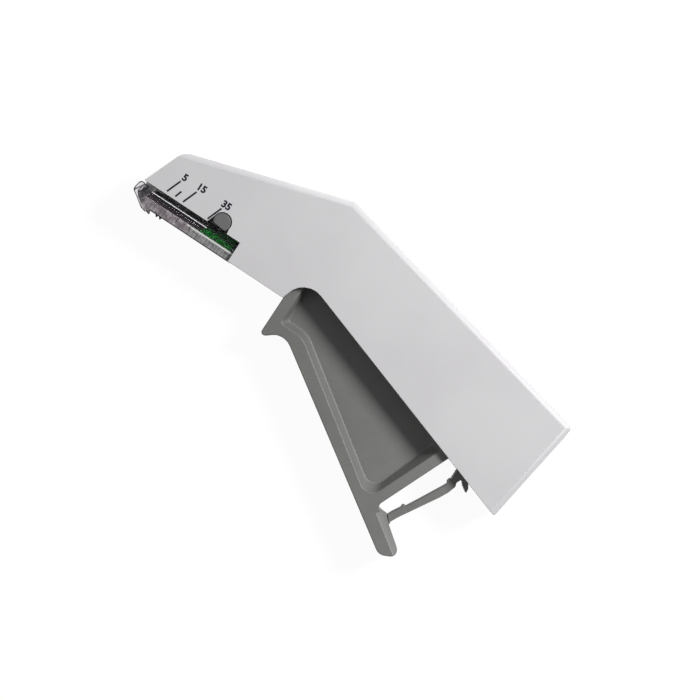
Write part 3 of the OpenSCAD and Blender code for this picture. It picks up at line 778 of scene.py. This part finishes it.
# The table, and the patches of it that show through the window and beside the boss. The window's
# patch ends under the nose on a slant that starts at SLANT_FROM.
TABLE_HALF = 3.0
TABLE_DROP = 0.05
TABLE_GLOW = 0.9
GLOW_STRENGTH = 1.05
WINDOW_LOW, WINDOW_HIGH = (-28.4, -9.1), (9.0, -1.2)
BOSS_LOW, BOSS_HIGH = (-8.0, -1.3), (9.0, 6.0)
SLANT = 0.67
SLANT_FROM = (-28.4, -7.6)


def open_floor(p):
    """One over the table, nought on the patches of it that the housing shades."""
    x, y = p.axis(0), p.axis(1)

    def over(value, limit):
        return p.calc("GREATER_THAN", value, limit)

    def patch(low, high):
        return over(x, low.x) * (1.0 - over(x, high.x)) * over(y, low.y) * (1.0 - over(y, high.y))

    start = at(*SLANT_FROM)
    window = patch(at(*WINDOW_LOW), at(*WINDOW_HIGH)) * over(y + SLANT * x, start.y + SLANT * start.x)
    return (1.0 - window) * (1.0 - patch(at(*BOSS_LOW), at(*BOSS_HIGH)))


def pale_stage():
    """A pale table that looks white to the camera and still takes the object's shadow."""
    bm = bmesh.new()
    bmesh.ops.create_grid(bm, x_segments=1, y_segments=1, size=TABLE_HALF)
    bmesh.ops.translate(bm, verts=bm.verts, vec=(0, 0, -TABLE_DROP * MM))
    mesh = bpy.data.meshes.new("table")
    bm.to_mesh(mesh)
    bm.free()
    table = bpy.data.objects.new("table", mesh)
    bpy.context.scene.collection.objects.link(table)
    p = Paint("pale_table")
    rays = p.tree.nodes.new("ShaderNodeLightPath")
    seen = Value(p, rays.outputs["Is Camera Ray"]) + Value(p, rays.outputs["Is Glossy Ray"])
    seen = seen + Value(p, rays.outputs["Is Transmission Ray"])
    share = p.calc("MINIMUM", seen * TABLE_GLOW, TABLE_GLOW) * open_floor(p)
    p.set(Base_Color=(0.9, 0.9, 0.9), Roughness=0.9)
    glow = p.node("ShaderNodeEmission", {}, {"Color": (1.0, 1.0, 1.0), "Strength": GLOW_STRENGTH})
    p.cover(share, glow)
    mesh.materials.append(p.material)


def sky():
    """A dim room for the light and a white one for the camera."""
    world = bpy.data.worlds.new("soft_room")
    bpy.context.scene.world = world
    world.use_nodes = True
    tree = world.node_tree
    tree.nodes.clear()
    out = tree.nodes.new("ShaderNodeOutputWorld")
    rays = tree.nodes.new("ShaderNodeLightPath")
    mix = tree.nodes.new("ShaderNodeMixShader")
    tree.links.new(rays.outputs["Is Camera Ray"], mix.inputs[0])
    for slot, colour, strength in ((1, ROOM_TINT, ROOM_LIGHT), (2, WHITE, 1.0)):
        room = tree.nodes.new("ShaderNodeBackground")
        room.inputs["Color"].default_value = colour
        room.inputs["Strength"].default_value = strength
        tree.links.new(room.outputs[0], mix.inputs[slot])
    tree.links.new(mix.outputs[0], out.inputs["Surface"])


def lamp(name, spot, size, power):
    """A round lamp that points at the frame's origin."""
    data = bpy.data.lights.new(name, "AREA")
    data.shape = "DISK"
    data.size = size
    data.energy = power
    light = bpy.data.objects.new(name, data)
    bpy.context.scene.collection.objects.link(light)
    light.location = spot
    light.rotation_euler = (-Vector(spot)).to_track_quat("-Z", "Y").to_euler()


def camera():
    data = bpy.data.cameras.new("photo_camera")
    data.sensor_width = SENSOR
    data.sensor_fit = "HORIZONTAL"
    data.lens = SENSOR * VIEW_HEIGHT / VIEW_FIELD
    data.clip_end = 20
    eye = bpy.data.objects.new("photo_camera", data)
    bpy.context.scene.collection.objects.link(eye)
    eye.location = at(*VIEW_CENTRE, SIDE_Z + VIEW_HEIGHT)
    eye.rotation_euler = (0, 0, VIEW_TURN)
    bpy.context.scene.camera = eye


pale_stage()
sky()
lamp("key", spot=(0.3, 0.47, 0.485), size=0.26, power=6.2)
lamp("fill", spot=(-0.5, -0.15, 0.75), size=0.7, power=0.9)
camera()
bpy.context.scene.view_settings.view_transform = "Standard"
